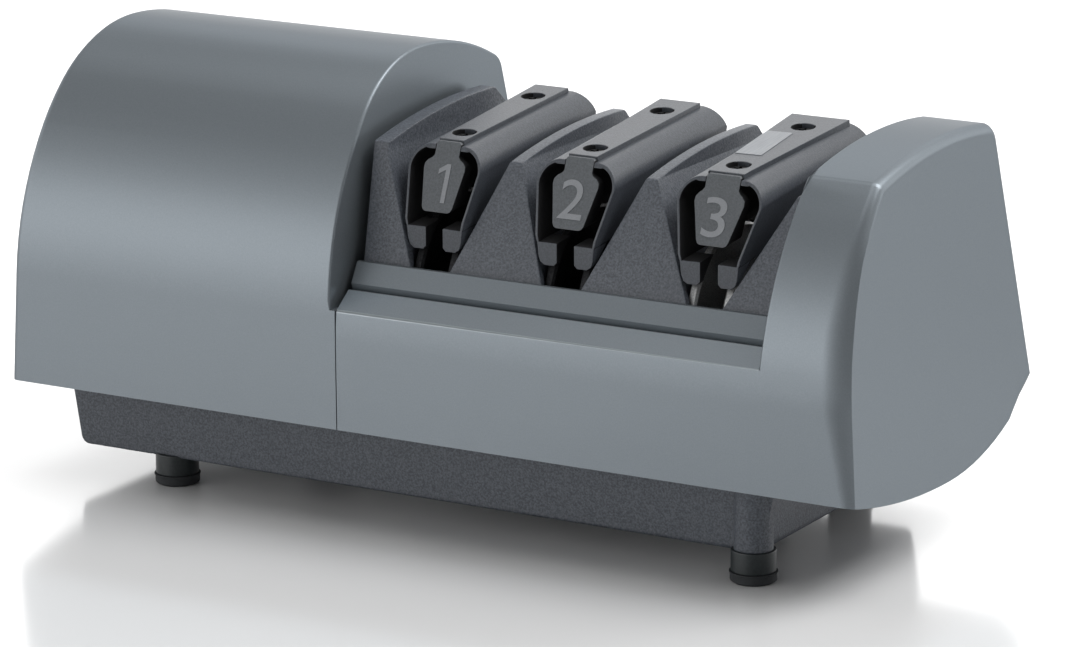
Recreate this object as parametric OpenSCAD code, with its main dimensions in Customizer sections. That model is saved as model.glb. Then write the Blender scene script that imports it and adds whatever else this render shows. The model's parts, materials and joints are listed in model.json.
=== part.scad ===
// Three-stage electric knife sharpener.
// A motor turns one long arbor, which carries three pairs of conical disks.
// A knife is drawn from front to back through the slots beside the numbered posts.
// Frame: X along the arbor, front at -Y, Z up, origin on the floor under the middle.

/* [Housing] */
// Overall depth at the foot of the rear wall
body_d = 108.4; // [98:0.2:118]
// Height of the arched motor cover
body_h = 120.5; // [118:0.5:130]
// Height of the front skirt above the floor
skirt_z = 27; // [26:0.5:29]
// Height of the end skirts at their lowest point
dip_z = 20; // [18:0.5:24]
// Height of the foot of the rear wall
rear_z = 36; // [34:0.5:40]
// Thickness of the moulded covers
wall = 2.5; // [2:0.1:3]
// Length of the motor cover
motor_l = 104.3; // [96:0.1:116]
// Length of the end cap beside the third stage
cap_l = 26; // [24:0.5:27]
// Height of the end cap
cap_h = 109; // [107:0.5:114]
// Height of the front rail in front of the slots
rail_z = 59; // [57:0.5:61]
// Radius of the arch above the front wall
front_r = 75; // [70:1:80]
// Radius of the arch's shoulder
shoulder_r = 39; // [34:1:44]
// Radius of the arch's top
top_r = 85; // [78:1:100]
// Radius of the corner between the top and the rear wall
corner_r = 6; // [3:0.5:8]

/* [Guides] */
// Distance from the motor cover to the first stage
stage_room = 21.5; // [20.5:0.1:24]
// Pitch from the first stage to the second
pitch_1 = 39.1; // [38:0.1:41]
// Pitch from the second stage to the third
pitch_2 = 41.5; // [40:0.1:42]
// Distance from the third stage to the end cap
cap_room = 21.6; // [21:0.1:25]
// Length of each guide spring, front to back
spring_len = 58; // [52:1:60]
// Thickness of the spring arms
arm_t = 1.2; // [1:0.1:1.6]
// Extra half width of the guide springs
arm_extra = 0; // [-0.6:0.1:0.4]
// Diameter of the screw holes in the spring tops
screw_hole_d = 6.2; // [4.5:0.1:6.6]
// Width of the ridge on each divider
ridge_w = 3.6; // [2:0.2:4.4]

/* [Arbor] */
// Diameter of the arbor
shaft_d = 8; // [7:0.5:9]
// Height of the arbor above the floor
shaft_z = 60; // [59:0.5:61]
// Distance of the arbor behind the front wall
shaft_y = 38.5; // [38:0.5:41]
// Diameter of the sharpening disks
disk_d = 51; // [44:0.5:51]
// How far a disk can slide against its spring
disk_travel = 1.2; // [0.8:0.1:1.4]

/* [Base] */
// Height of the underside of the base above the floor
base_z = 8; // [7.6:0.2:10]
// Width of the base's left overhang
base_left = 11; // [10:0.5:16]
// Width of the base's right overhang
base_right = 27; // [24:0.5:30]
// Diameter of the feet
foot_d = 12.2; // [11:0.2:15]
// Height of the rubber foot pads
pad_h = 2.9; // [2:0.1:4]

/* [Hidden] */

gap = 0.3;                    // between parts that only lie beside each other
run = 0.05;                   // radial running clearance on the arbor
deep = 30;                    // how far working shapes run below the floor
$fn = 64;

// slopes of the moulded faces, in millimetres of lean for each millimetre of height
end_draft = 0.048;
left_draft = 0.063;
left_crown = 160;             // radius that rounds off the top of the left end
inner_draft = 0.045;
rear_draft = 0.26;

// colours
housing_c = "slategray";
black_c = [0.2, 0.21, 0.23];
spring_c = [0.3, 0.31, 0.33];
post_c = [0.4, 0.41, 0.42];
steel_c = "silver";

// places along the arbor, from the left end to the right
stages = [for (p = [0, pitch_1, pitch_1 + pitch_2]) motor_l + stage_room + p];
cap_x = stages[2] + cap_room;
body_l = cap_x + cap_l;

// arch of the motor cover, as arcs in the plane of depth and height
arch_turn = 42;               // degrees turned by the front arc
arch_z = body_h - shoulder_r - (front_r - shoulder_r) * sin(arch_turn);
arch_c1 = [front_r, arch_z];
arch_c2 = arch_c1 + (front_r - shoulder_r) * [-cos(arch_turn), sin(arch_turn)];
arch_c3 = arch_c2 - [0, top_r - shoulder_r];

// end cap, whose front arc ends at a crease under a flatter top
cap_arc_z = cap_h - 58.5;
cap_crease_y = 22.7;
cap_crease_z = cap_arc_z + sqrt(pow(front_r, 2) - pow(front_r - cap_crease_y, 2));
cap_top_y = 63;
cap_top_r = (pow(cap_top_y - cap_crease_y, 2) + pow(cap_h - cap_crease_z, 2))
    / (2 * (cap_h - cap_crease_z));
cap_top_c = [cap_top_y, cap_h - cap_top_r];

lean = atan(rear_draft);
rear_foot = [body_d, rear_z];
// depth of the rear wall's outer face at a height
function rear_y(z) = body_d - (z - rear_z) * rear_draft;

// rail and deck between the motor cover and the cap
ledge_y = 7.5;
ledge_rise = 5;
lip_y = 11;
lip_rise = 11;
lip_t = 1.2;
lip_z = rail_z + lip_rise;
cove_r = 6;
block_front = lip_y + lip_t + gap;
block_rear = body_d - 17.4;

guide_angle = [22, 23.8, 27.8];
side_angle = 19;              // slanted face beside the motor cover
slot_half = [5.9, 5.8, 5.1];
plate_front = [7.4, 8.3, 9.8];
plate_rear = [10.5, 12.2, 17.4];
arm_half = [10.8, 11.4, 12];  // half width of each guide spring at its widest
head_half = [6.2, 6.7, 7.1];  // half width of each post's head
block_z = 64;                 // underside of the guide block
slot_z = 70;                  // floor level of the slots
ridge_z = 98;                 // where the slanted guide faces end
spring_y = 22.7;              // front edge of the plates on the guide springs
spring_tilt = 5;              // degrees that the guides rise to the back
plate_z = 102.1;
plate_len = 53.6;
skin_drop = 1.2;              // top of the spring below the top of its plate
skin_r = 6;                   // radius of the spring's shoulders
arm_foot = 8.4;               // half width over the knife pads
pad_top = -21;
knife_pad_h = 5.8;
knife_pad_w = 5.9;
hole_y = [30.6, 66.2];
hub_half = 3.7;               // half of the space between a pair of disks
disk_face = 6.3;              // distance of a disk's rim face from its stage
hub_end = 11;
pin_r = 1.5;
disk_room = 0.8;              // clearance around the disks
channel_r = 10.6;

// base
base_lean = 0.165;
base_corner = 2.6;
base_y = 12;
base_rear = body_d - 10.4;
base_t = 2.5;
flange_z = skirt_z + 1;
flange_t = 2.5;
foot_xy = [[base_left + 31.5, 16.6], [body_l - base_right - 6.7, 13.3],
    [base_left + 31.5, base_rear - 6], [body_l - base_right - 19, base_rear - 6]];
foot_post = [4.2, 5.1, 4.2, 4.2];  // radius of the post over each foot, the second stands proud
screw_xy = [for (x = [base_left - 4, body_l - 9], y = [20, body_d - 20.4]) [x, y]];
hatch_x = [stages[0] - 13.8, stages[2] - 6.4];
hatch_y = [shaft_y - 8.5, shaft_y + 29.5];

// motor, placed about the arbor and against the rear wall
bearing_x = [20, motor_l - 22.3, cap_x + 4];
core_half = 25;
core_ring = 7.6;              // iron between the rotor's bore and the coil's window
window_half = 18.5;
rotor_r = 18.8;
air_gap = 0.6;
core_front = shaft_y - rotor_r - air_gap - core_ring;
window_y = shaft_y + rotor_r + air_gap + core_ring;
coil_back = 5.35;             // air between the coil and the rear wall
coil_rear = rear_y(shaft_z + window_half) - wall - coil_back;
coil_space = coil_rear - window_y - 1;
limb_t = 0.39 * coil_space;   // iron limb that the coil goes round
coil_t = (coil_space - limb_t) / 2;
limb_y = [coil_rear - coil_t - limb_t, coil_rear - coil_t];
switch_x = 20;
switch_l = 20;
stack_x = [switch_x + switch_l / 2 + 1 + coil_t, bearing_x[1] - 16];

// switch on the rear wall of the motor cover, and lever behind the third stage
switch_z = 62;
switch_h = 17;
rocker_r = 9;
lever_x = stages[2];
fork_y = shaft_y + disk_d / 2 + 3;
lever_y = fork_y + 11;
lever_z = 51;
lever_t = 5;

// moves a child from the front left corner of the floor to the frame of the part
module from_corner() translate([-body_l / 2, -body_d / 2, 0]) children();

// extrudes a depth and height outline along X, from x0 to x1
module along_x(x0, x1)
    translate([x0, 0, 0]) rotate([90, 0, 90]) linear_extrude(x1 - x0) children();

// extrudes a length and height outline along Y, from y0 to y1
module along_y(y0, y1)
    translate([0, y1, 0]) rotate([90, 0, 0]) linear_extrude(y1 - y0) children();

module box(low, high) translate(low) cube(high - low);

// round bar along X about the arbor's axis
module on_arbor(x0, x1, r)
    translate([x0, shaft_y, shaft_z]) rotate([0, 90, 0]) cylinder(h = x1 - x0, r = r);

function arc(c, r, a0, a1, n) =
    [for (i = [0:n]) let (a = a0 + (a1 - a0) * i / n) c + r * [cos(a), sin(a)]];

// centre of the corner arc that joins a top arc to the leaning rear wall
function corner_centre(c, r) = let (
        n = [cos(lean), sin(lean)],
        t = [-sin(lean), cos(lean)],
        p = rear_foot - corner_r * n,
        w = p - c,
        b = w * t)
    p + (sqrt(b * b - w * w + pow(r - corner_r, 2)) - b) * t;

function rear_end() = [rear_y(-deep), -deep];

// outline that starts up the front wall and closes down the rear wall
function profile(front, c, r, a0) = let (
        k = corner_centre(c, r),
        a1 = atan2(k[1] - c[1], k[0] - c[0]))
    concat([[0, -deep]], front, arc(c, r, a0, a1, 16),
        arc(k, corner_r, a1, lean, 6), [rear_end()]);

arch_outline = profile(
    concat(arc(arch_c1, front_r, 180, 180 - arch_turn, 12),
        arc(arch_c2, shoulder_r, 180 - arch_turn, 90, 12)),
    arch_c3, top_r, 90);

cap_outline = profile(
    arc([front_r, cap_arc_z], front_r, 180, 180 - acos(1 - cap_crease_y / front_r), 14),
    cap_top_c, cap_top_r, 90 + asin((cap_top_y - cap_crease_y) / cap_top_r));

rail_lean = front_r - sqrt(pow(front_r, 2) - pow(rail_z - cap_arc_z, 2));
cove_c = [lip_y - cove_r, lip_z];
deck_outline = concat(
    [[-1, -deep], [-1, rail_z], [rail_lean, rail_z], [ledge_y, rail_z + ledge_rise]],
    arc(cove_c, cove_r, -60, 0, 6),
    [[lip_y + lip_t, lip_z], [lip_y + lip_t, block_z - 3],
     [block_rear + gap, block_z - 3], [block_rear + gap, lip_z]],
    [for (p = arc(cove_c, cove_r, 0, -60, 6)) [block_rear + gap + lip_t + lip_y - p[0], p[1]]],
    [[rear_y(rail_z + 2), rail_z + 2], rear_end()]);

module deck_section() intersection() {
    polygon(deck_outline);
    polygon(cap_outline);
}

// the region above the sweeping lower edge of the covers
dip_y = 56;
dip_front_r = (pow(dip_y, 2) + pow(skirt_z - dip_z, 2)) / (2 * (skirt_z - dip_z));
dip_rear_r = (pow(body_d - dip_y, 2) + pow(rear_z - dip_z, 2)) / (2 * (rear_z - dip_z));
module above_skirt() along_x(-1, body_l + 1) polygon(concat(
    arc([dip_y, dip_z + dip_front_r], dip_front_r,
        270 - asin((dip_y + 0.01) / dip_front_r), 270, 10),
    arc([dip_y, dip_z + dip_rear_r], dip_rear_r,
        270, 270 + asin((body_d - dip_y) / dip_rear_r), 12),
    [[body_d + 20, rear_z], [body_d + 20, body_h + 5], [-1, body_h + 5], [-1, skirt_z]]));

// length and height outline between two leaning end faces
module ends(x0, x1, lean0, lean1, z1) polygon([
    [x0 - lean0 * (deep + skirt_z), -deep], [x1 + lean1 * (deep + skirt_z), -deep],
    [x1 - lean1 * (z1 - skirt_z), z1], [x0 + lean0 * (z1 - skirt_z), z1]]);

// post for a cover screw, standing over the flange and joined to the end wall
module screw_post(xy, wall_x) difference() {
    union() {
        translate([xy[0], xy[1], flange_z + flange_t]) cylinder(h = 15, r = 4.2);
        box([min(xy[0], wall_x), xy[1] - 1.5, flange_z + flange_t],
            [max(xy[0], wall_x), xy[1] + 1.5, flange_z + flange_t + 15]);
    }
    translate([xy[0], xy[1], flange_z + flange_t - 1]) cylinder(h = 13, r = 1.55);
}

// shallow recess in the face of the motor cover beside the guide block
swoosh_r = 380;
swoosh_c = [78, body_h - 10.3 - swoosh_r];
module swoosh() intersection() {
    polygon(arch_outline);
    polygon(concat([[-1, rail_z]],
        arc(swoosh_c, swoosh_r, 90 + asin(79 / swoosh_r), 90 - asin(25 / swoosh_r), 24),
        [[body_d, rail_z]]));
}

// outline of the motor cover's length, with its left end rounded off at the top
crown_z = 97;
module motor_ends(inset, z1) let (
        n = 6,
        rise = [for (i = [0:n]) crown_z + (body_h + 1 - crown_z) * i / n])
    polygon(concat(
        [[inset, skirt_z], [inset - end_draft * (deep + skirt_z), -deep],
            [body_l, -deep], [body_l, z1]],
        [for (i = [n:-1:0]) [inset + left_draft * (rise[i] - skirt_z)
            + pow(rise[i] - crown_z, 2) / (2 * left_crown), rise[i]]]));

face_t = 4;                   // thickness of the motor cover's right face
face_lean = 0.04;
module motor_cover() color(housing_c) from_corner() difference() {
    union() {
        intersection() {
            difference() {
                along_x(-5, motor_l) polygon(arch_outline);
                intersection() {
                    along_x(wall, motor_l - face_t) offset(delta = -wall) polygon(arch_outline);
                    along_y(-1, body_d + 20) motor_ends(wall, body_h + 1);
                }
                along_x(wall, motor_l - face_t)
                    polygon([[wall, -deep - 1], [wall, 0], [rear_y(0) - wall * 1.04, 0],
                        [rear_y(-deep) - wall * 1.04, -deep - 1]]);
            }
            above_skirt();
            along_y(-1, body_d + 20) motor_ends(0, body_h + 1);
        }
        for (i = [0, 1]) screw_post(screw_xy[i], wall);
    }
    // the right face leans in above the rail
    along_y(-1, body_d + 20) polygon([[motor_l, rail_z], [motor_l + 5, rail_z],
        [motor_l + 5, body_h + 1], [motor_l - face_lean * (body_h + 1 - rail_z), body_h + 1]]);
    along_x(motor_l - 1.6, motor_l + 1) swoosh();
    on_arbor(motor_l - face_t - 1, motor_l + 1, 13);
    // opening under the face, over the base
    box([motor_l - face_t - 1, wall, 0],
        [motor_l + 1, rear_y(flange_z) - wall - 4.5, flange_z + flange_t + gap]);
    along_x(motor_l - face_t - 1, motor_l + 1) apron_outline(gap);
    switch_hole();
}

cap_x0 = cap_x - inner_draft * (rail_z - skirt_z);
module sharpening_cover() color(housing_c) from_corner() {
    difference() {
        intersection() {
            union() {
                along_x(motor_l + gap, cap_x + 1) deck_section();
                intersection() {
                    along_x(cap_x - 3, body_l + 5) polygon(cap_outline);
                    along_y(-1, body_d + 20) ends(cap_x0, body_l, inner_draft, end_draft, body_h);
                }
            }
            above_skirt();
            along_y(-1, body_d + 20) ends(0, body_l, 0, end_draft, body_h);
        }
        // inside of the deck
        along_x(motor_l, cap_x + wall) offset(delta = -wall) deck_section();
        // inside of the cap
        intersection() {
            along_x(cap_x, body_l) offset(delta = -wall) polygon(cap_outline);
            along_y(-1, body_d + 20)
                ends(cap_x0 + wall, body_l - wall, inner_draft, end_draft, body_h);
        }
        along_x(motor_l, body_l - wall) polygon([[wall, -deep - 1], [wall, 0],
            [rear_y(0) - wall * 1.04, 0], [rear_y(-deep) - wall * 1.04, -deep - 1]]);
        // seat of the guide block
        box([motor_l, block_front - gap, block_z - 4 - wall], [cap_x - gap, block_rear + gap, body_h]);
        lever_slot();
        // way through for the arbor
        on_arbor(cap_x - 3, cap_x + wall + 4, shaft_d / 2 + 3);
    }
    for (i = [2, 3]) screw_post(screw_xy[i], body_l - wall);
}

// length and height outline of one divider between two stages
module divider_outline(x0, a0, x1, a1, top) polygon([
    [x0, block_z], [x1, block_z], [x1, slot_z],
    [x1 - (ridge_z - slot_z) * tan(a1), ridge_z],
    [x1 - (ridge_z - slot_z) * tan(a1), top],
    [x0 + (ridge_z - slot_z) * tan(a0), top],
    [x0 + (ridge_z - slot_z) * tan(a0), ridge_z], [x0, slot_z]]);

// ridges, each an arc with its highest point, its radius and its front and rear ends
full_ridge = [68, 102.3, 222, 24.5, 78];
half_ridge = [64, 105.9, 208, 18.5, 72];
// depth and height outline of a divider under its ridge, which falls by end at the rear
module divider_side(ridge, end) let (
        c = [ridge[0], ridge[1] - ridge[2]],
        a1 = 90 - asin((ridge[4] - ridge[0]) / ridge[2]),
        e = c + ridge[2] * [cos(a1), sin(a1)])
    polygon(concat(
        [[block_front, block_z], [block_front, slot_z]],
        arc(c, ridge[2], 90 + asin((ridge[0] - ridge[3]) / ridge[2]), a1, 12),
        [e + [1, -0.3], e + end, [block_rear, slot_z], [block_rear, block_z]]));

module guide_block() color(black_c) from_corner() difference() {
    union() {
        box([motor_l + gap + 1, block_front, block_z], [cap_x - gap, block_rear, slot_z]);
        for (i = [0, 1]) intersection() {
            along_y(block_front, block_rear) divider_outline(
                stages[i] + slot_half[i], guide_angle[i],
                stages[i + 1] - slot_half[i + 1], guide_angle[i + 1], body_h);
            along_x(0, body_l) divider_side(full_ridge, [3.6, -2.8]);
        }
        intersection() {
            along_y(block_front, block_rear) polygon([[motor_l + gap + 1, block_z],
                [stages[0] - slot_half[0], block_z], [stages[0] - slot_half[0], slot_z],
                [stages[0] - slot_half[0] - (ridge_z - slot_z) * tan(side_angle), ridge_z],
                [stages[0] - slot_half[0] - (ridge_z - slot_z) * tan(side_angle), body_h],
                [motor_l + gap + 1, body_h]]);
            along_x(0, body_l) divider_side(half_ridge, [6.5, -5]);
        }
        intersection() {
            along_y(block_front, block_rear) polygon([[cap_x - gap, block_z],
                [stages[2] + slot_half[2], block_z], [stages[2] + slot_half[2], slot_z],
                [cap_x - gap, slot_z + (cap_x - gap - stages[2] - slot_half[2])
                    / tan(guide_angle[2])]]);
            along_x(0, body_l) divider_side(full_ridge, [3.6, -2.8]);
        }
    }
    for (i = [0:2]) {
        // slot, open at the front
        box([stages[i] - slot_half[i], block_front - 1, block_z - 1],
            [stages[i] + slot_half[i], slot_end, slot_z + 1]);
        // room for the disks
        w = disk_face + disk_room + 0.5;
        box([stages[i] - w, block_front - 1, block_z - 1], [stages[i] + w, slot_end, slot_z - 1]);
        on_arbor(stages[i] - w, stages[i] + w, disk_d / 2 + disk_room);
    }
    on_arbor(motor_l, cap_x, channel_r);
}
slot_end = shaft_y + disk_d / 2 + 2;

module base_tray() color(black_c) from_corner() difference() {
    union() {
        difference() {
            union() {
                // tub
                along_y(base_y, base_rear) offset(r = base_corner) offset(delta = -base_corner) polygon([
                    [base_left, flange_z], [base_left + base_lean * (flange_z - base_z), base_z],
                    [body_l - base_right - base_lean * (flange_z - base_z), base_z],
                    [body_l - base_right, flange_z]]);
                // flange that closes the covers from below
                box([wall + 1, wall + 0.5, flange_z],
                    [body_l - wall - 1, base_rear - base_t, flange_z + flange_t]);
                along_x(wall + 2, body_l - wall - 2) apron_outline(0);
            }
            along_y(base_y + base_t, base_rear - base_t) polygon([
                [base_left + base_t, flange_z + flange_t + 1],
                [base_left + base_t + base_lean * (flange_z - base_z), base_z + base_t],
                [body_l - base_right - base_t - base_lean * (flange_z - base_z), base_z + base_t],
                [body_l - base_right - base_t, flange_z + flange_t + 1]]);
        }
        for (i = [0:3]) translate([foot_xy[i][0], foot_xy[i][1], base_z])
            cylinder(h = flange_z - base_z, r = foot_post[i]);
        // pedestals for the motor, pillars for the guide block, stand for the lever's pin
        for (x = [stack_x[0] + 1, stack_x[1] - 7])
            box([x, core_front + 4, base_z + base_t - 0.5], [x + 6, limb_y[1], shaft_z - core_half]);
        for (x = [motor_l + 4, cap_x - 11], y = [block_front + 3, block_rear - 9])
            box([x, y, base_z + base_t - 0.5], [x + 6, y + 6, block_z]);
        translate([lever_x, lever_y, base_z + base_t - 0.5])
            cylinder(h = lever_z - base_z - base_t + 0.5 - gap, r = 5);
        hatch_rails();
    }
    for (p = foot_xy) translate([p[0], p[1], base_z - 1]) cylinder(h = 11, r = 2.55);
    for (p = screw_xy) translate([p[0], p[1], flange_z - 1]) cylinder(h = 5, r = 1.9);
    box([hatch_x[0] + 4, hatch_y[0] + 4, base_z - 1], [hatch_x[1] - 4, hatch_y[1] - 4, base_z + 4]);
    grommet_hole();
    translate([lever_x, lever_y, lever_z - 12]) cylinder(h = 20, r = 2);
}

// wall of the base that rises inside the foot of the rear wall, grown by a clearance
module apron_outline(room) {
    y0 = base_rear - base_t;
    y1 = rear_y(rear_z + 8) - wall - 0.8;
    polygon([[y0 - room, flange_z - room], [base_rear, flange_z - room],
        [rear_y(rear_z) - wall - 1 + room, rear_z - 2], [y1 + room, rear_z + 8 + room],
        [y1 - 2.4 - room, rear_z + 8 + room], [rear_y(rear_z) - wall - 3.4 - room, rear_z - 0.6],
        [y0 - room, flange_z + flange_t + room]]);
}

// runners under the floor that hold the clean-out cover
module hatch_rails() for (side = [0, 1]) mirror_y(side, (hatch_y[0] + hatch_y[1]) / 2) {
    box([hatch_x[0], hatch_y[0] - 3, base_z - 2.9], [hatch_x[1], hatch_y[0] - gap, base_z]);
    box([hatch_x[0], hatch_y[0] - 3, base_z - 4.1], [hatch_x[1], hatch_y[0] + 2, base_z - 2.9]);
}

module mirror_y(on, y) translate([0, on * 2 * y, 0]) mirror([0, on, 0]) children();

module cleanout_cover() color(black_c) from_corner() difference() {
    union() {
        box([hatch_x[0], hatch_y[0], base_z - 2.6], [hatch_x[1], hatch_y[1], base_z - gap]);
        box([hatch_x[1] - 4, hatch_y[0] + 6, base_z - 4.6], [hatch_x[1], hatch_y[1] - 6, base_z - 2.6]);
    }
    translate([stages[1], (hatch_y[0] + hatch_y[1]) / 2, base_z - 1.6]) cylinder(h = 3, r = 8);
}

module dust_magnet() color(steel_c) from_corner()
    translate([stages[1], (hatch_y[0] + hatch_y[1]) / 2, base_z - 1.6]) cylinder(h = 1.2, r = 7.9);

module foot_legs() color(black_c) from_corner() for (p = foot_xy) translate([p[0], p[1], 0])
    difference() {
        union() {
            translate([0, 0, pad_h]) cylinder(h = base_z - pad_h, r = foot_d / 2 - 0.25);
            translate([0, 0, base_z]) cylinder(h = 9, r = 2.5);
        }
        translate([0, 0, pad_h - 1]) cylinder(h = 3, r = 3);
    }

module foot_pads() color([0.12, 0.12, 0.13]) from_corner() for (p = foot_xy)
    translate([p[0], p[1], 0]) {
        rotate_extrude() polygon([[0, 0], [foot_d / 2 - 0.5, 0], [foot_d / 2, 0.5],
            [foot_d / 2, pad_h - 0.6], [foot_d / 2 + 0.2, pad_h - 0.5], [foot_d / 2 + 0.2, pad_h],
            [2.9, pad_h], [2.9, pad_h + 1.8], [0, pad_h + 1.8]]);
    }

module cover_screws() color(steel_c) from_corner() for (p = screw_xy)
    translate([p[0], p[1], flange_z]) {
        translate([0, 0, -2.2]) cylinder(h = 2.2, r = 3.4);
        cylinder(h = 13, r = 1.5);
    }

// cord inlet in the rear wall of the base
grommet_x = 60;
grommet_z = 19.5;
module grommet_at() translate([grommet_x, base_rear, grommet_z]) rotate([-90, 0, 0]) children();
module grommet_hole() grommet_at() translate([0, 0, -base_t - 1]) cylinder(h = base_t + 2, r = 5.5);
module cord_grommet() color([0.1, 0.1, 0.11]) from_corner() grommet_at() rotate_extrude()
    polygon([[3.4, -base_t - 2], [7, -base_t - 2], [7, -base_t - 0.05], [5.45, -base_t - 0.05],
        [5.45, 0.05], [7, 0.05], [7, 2.4], [5, 4.4], [3.4, 4.4]]);

// frame of one guide: origin at the front top of its plate, tilted up to the back
module at_guide(i) translate([stages[i], spring_y, plate_z]) rotate([spring_tilt, 0, 0]) children();

function plate_half(i, y) = (plate_front[i] + (plate_rear[i] - plate_front[i]) * y / spring_len) / 2;

module linear_x(x0, x1) translate([x0, 0, 0]) rotate([90, 0, 90]) linear_extrude(x1 - x0) children();
module linear_y(y0, y1) translate([0, y1, 0]) rotate([90, 0, 0]) linear_extrude(y1 - y0) children();

// everything in front of the leaning front faces of the guides
front_lean = 0.42;
front_y = 14.8;
module guide_front(i) along_x(stages[i] - 20, stages[i] + 20) polygon([
    [-5, 60], [front_y, 60], [front_y, 82.3], [front_y + 25 * front_lean, 107.3], [-5, 107.3]]);

// outline of one spring arm, height measured from the plate's top
function arm_outline(i, t) = let (w = arm_half[i] + arm_extra)
    concat([[0, -skin_drop - t]],
        arc([w - skin_r, -skin_drop - skin_r], skin_r - t, 90, 0, 10),
        [[arm_foot + 0.2 - t, pad_top + 0.6], [arm_foot - t, pad_top - t]]);

module spring_section(i) for (s = [-1, 1]) scale([s, 1]) {
    difference() {
        polygon(concat(arm_outline(i, 0), [[0, pad_top]]));
        polygon(concat(arm_outline(i, arm_t), [[-1, pad_top - arm_t], [-1, -skin_drop - arm_t]]));
    }
}

module pad_section() for (s = [-1, 1]) scale([s, 1]) polygon([
    [arm_foot, pad_top + 0.2], [arm_foot - 0.4, pad_top - knife_pad_h + 2.4],
    [arm_foot - 1, pad_top - knife_pad_h + 0.8], [arm_foot - 2.2, pad_top - knife_pad_h],
    [arm_foot - knife_pad_w + 0.8, pad_top - knife_pad_h],
    [arm_foot - knife_pad_w, pad_top - knife_pad_h + 0.8], [arm_foot - knife_pad_w, pad_top + 0.2]]);

module guide_spring(i) color(spring_c) from_corner() difference() {
    union() {
        at_guide(i) linear_y(-12, spring_len) spring_section(i);
        at_guide(i) translate([0, 0, -skin_drop - arm_t + 0.2])
            linear_extrude(skin_drop + arm_t - 0.2) polygon([
                [-plate_half(i, -3), -3], [plate_half(i, -3), -3],
                [plate_half(i, plate_len), plate_len], [-plate_half(i, plate_len), plate_len]]);
        // knife pads in front of the disks and behind them
        difference() {
            at_guide(i) linear_y(-12, spring_len) pad_section();
            on_arbor(stages[i] - 15, stages[i] + 15, disk_d / 2 + disk_room + 0.4);
            box([stages[i] - post_half - 0.6, slot_end, slot_z],
                [stages[i] + post_half + 0.6, spring_y + plate_len - 2, plate_z - 8]);
        }
    }
    guide_front(i);
    // the rear end slants like the front
    at_guide(i) linear_x(-20, 20) polygon([[spring_len - 3, -skin_drop], [spring_len - 3, 5],
        [spring_len + 5, 5], [spring_len + 5, -skin_drop - 6], [spring_len, -skin_drop - 6]]);
    // notch for the post's nose
    at_guide(i) translate([-plate_half(i, 0) - 0.05, -12, -4])
        cube([2 * plate_half(i, 0) + 0.1, 12 + nose_l + 0.05, 5]);
    at_guide(i) for (y = hole_y) translate([0, y - spring_y, 0]) {
        translate([0, 0, -skin_drop - arm_t + 0.8]) cylinder(h = 8, r = screw_hole_d / 2);
        translate([0, 0, -8]) cylinder(h = 8, r = 1.6);
    }
}

post_half = 3.2;              // half width of the bar behind the post's face
nose_l = 1.3;                 // length of the post's nose in front of the plate
foot_half = 4.6;
post_foot = [-17, -17.1, -16.7];
function post_side(i, s) = let (h = head_half[i], n = plate_front[i] / 2) [
    [s * n, -skin_drop - arm_t], [s * n, -3.7], [s * (n + 0.5), -4.3], [s * (h - 0.9), -4.9],
    [s * (h - 0.1), -5.8], [s * h, -7], [s * foot_half, post_foot[i] + 1.1],
    [s * (foot_half - 0.5), post_foot[i] + 0.3], [s * (foot_half - 1.3), post_foot[i]]];

module guide_post(i) color(post_c) from_corner() difference() {
    union() {
        // front plate that carries the stage's number
        at_guide(i) linear_y(-12, 0) polygon(concat(
            post_side(i, -1), [for (k = [8:-1:0]) post_side(i, 1)[k]]));
        // nose that meets the end of the spring's plate
        at_guide(i) linear_y(-6, nose_l) polygon([[-plate_front[i] / 2, -3.2],
            [plate_front[i] / 2, -3.2], [plate_front[i] / 2, -0.9], [plate_front[i] / 2 - 0.5, -0.4],
            [0.5 - plate_front[i] / 2, -0.4], [-plate_front[i] / 2, -0.9]]);
        // bar under the spring, and its foot on the guide block
        at_guide(i) translate([-post_half, -4, -12])
            cube([2 * post_half, plate_len + 1, 12 - skin_drop - arm_t]);
        box([stages[i] - post_half, slot_end + 1, slot_z],
            [stages[i] + post_half, spring_y + plate_len - 3, plate_z - 6]);
    }
    guide_front(i);
    // the plate behind the front face is only a few millimetres thick
    at_guide(i) for (s = [0, 1]) mirror([s, 0, 0]) translate([post_half, 0, -30]) cube([20, 40, 26.7]);
    at_guide(i) for (y = hole_y) translate([0, y - spring_y, -skin_drop - arm_t - 9])
        cylinder(h = 12, r = 1.5);
}

module guide_screws() color([0.1, 0.1, 0.11]) from_corner() for (i = [0:2]) at_guide(i)
    for (y = hole_y) translate([0, y - spring_y, -skin_drop - arm_t]) {
        translate([0, 0, 0.8]) cylinder(h = 0.9, r = screw_hole_d / 2 - 0.2);
        translate([0, 0, -8]) cylinder(h = 8.9, r = 1.45);
    }

// the arbor and what turns with it
shaft_end = [16, body_l - 12];
pin_x = [for (s = stages, side = [-1, 1]) s + side * (hub_end - 0.4)];
module arbor_shaft() color(steel_c) from_corner() difference() {
    on_arbor(shaft_end[0], shaft_end[1], shaft_d / 2);
    for (x = pin_x) translate([x, shaft_y, shaft_z - 10]) cylinder(h = 20, r = pin_r);
}

module drive_pins() color(steel_c) from_corner() for (x = pin_x)
    translate([x, shaft_y, shaft_z - 7.5]) cylinder(h = 15, r = pin_r);

module shaft_collars() color(steel_c) from_corner()
    for (x = [bearing_x[0] - 3.6, bearing_x[2] + 6.4]) difference() {
        on_arbor(x, x + 3, 7.5);
        on_arbor(x - 1, x + 4, shaft_d / 2);
    }

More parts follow.
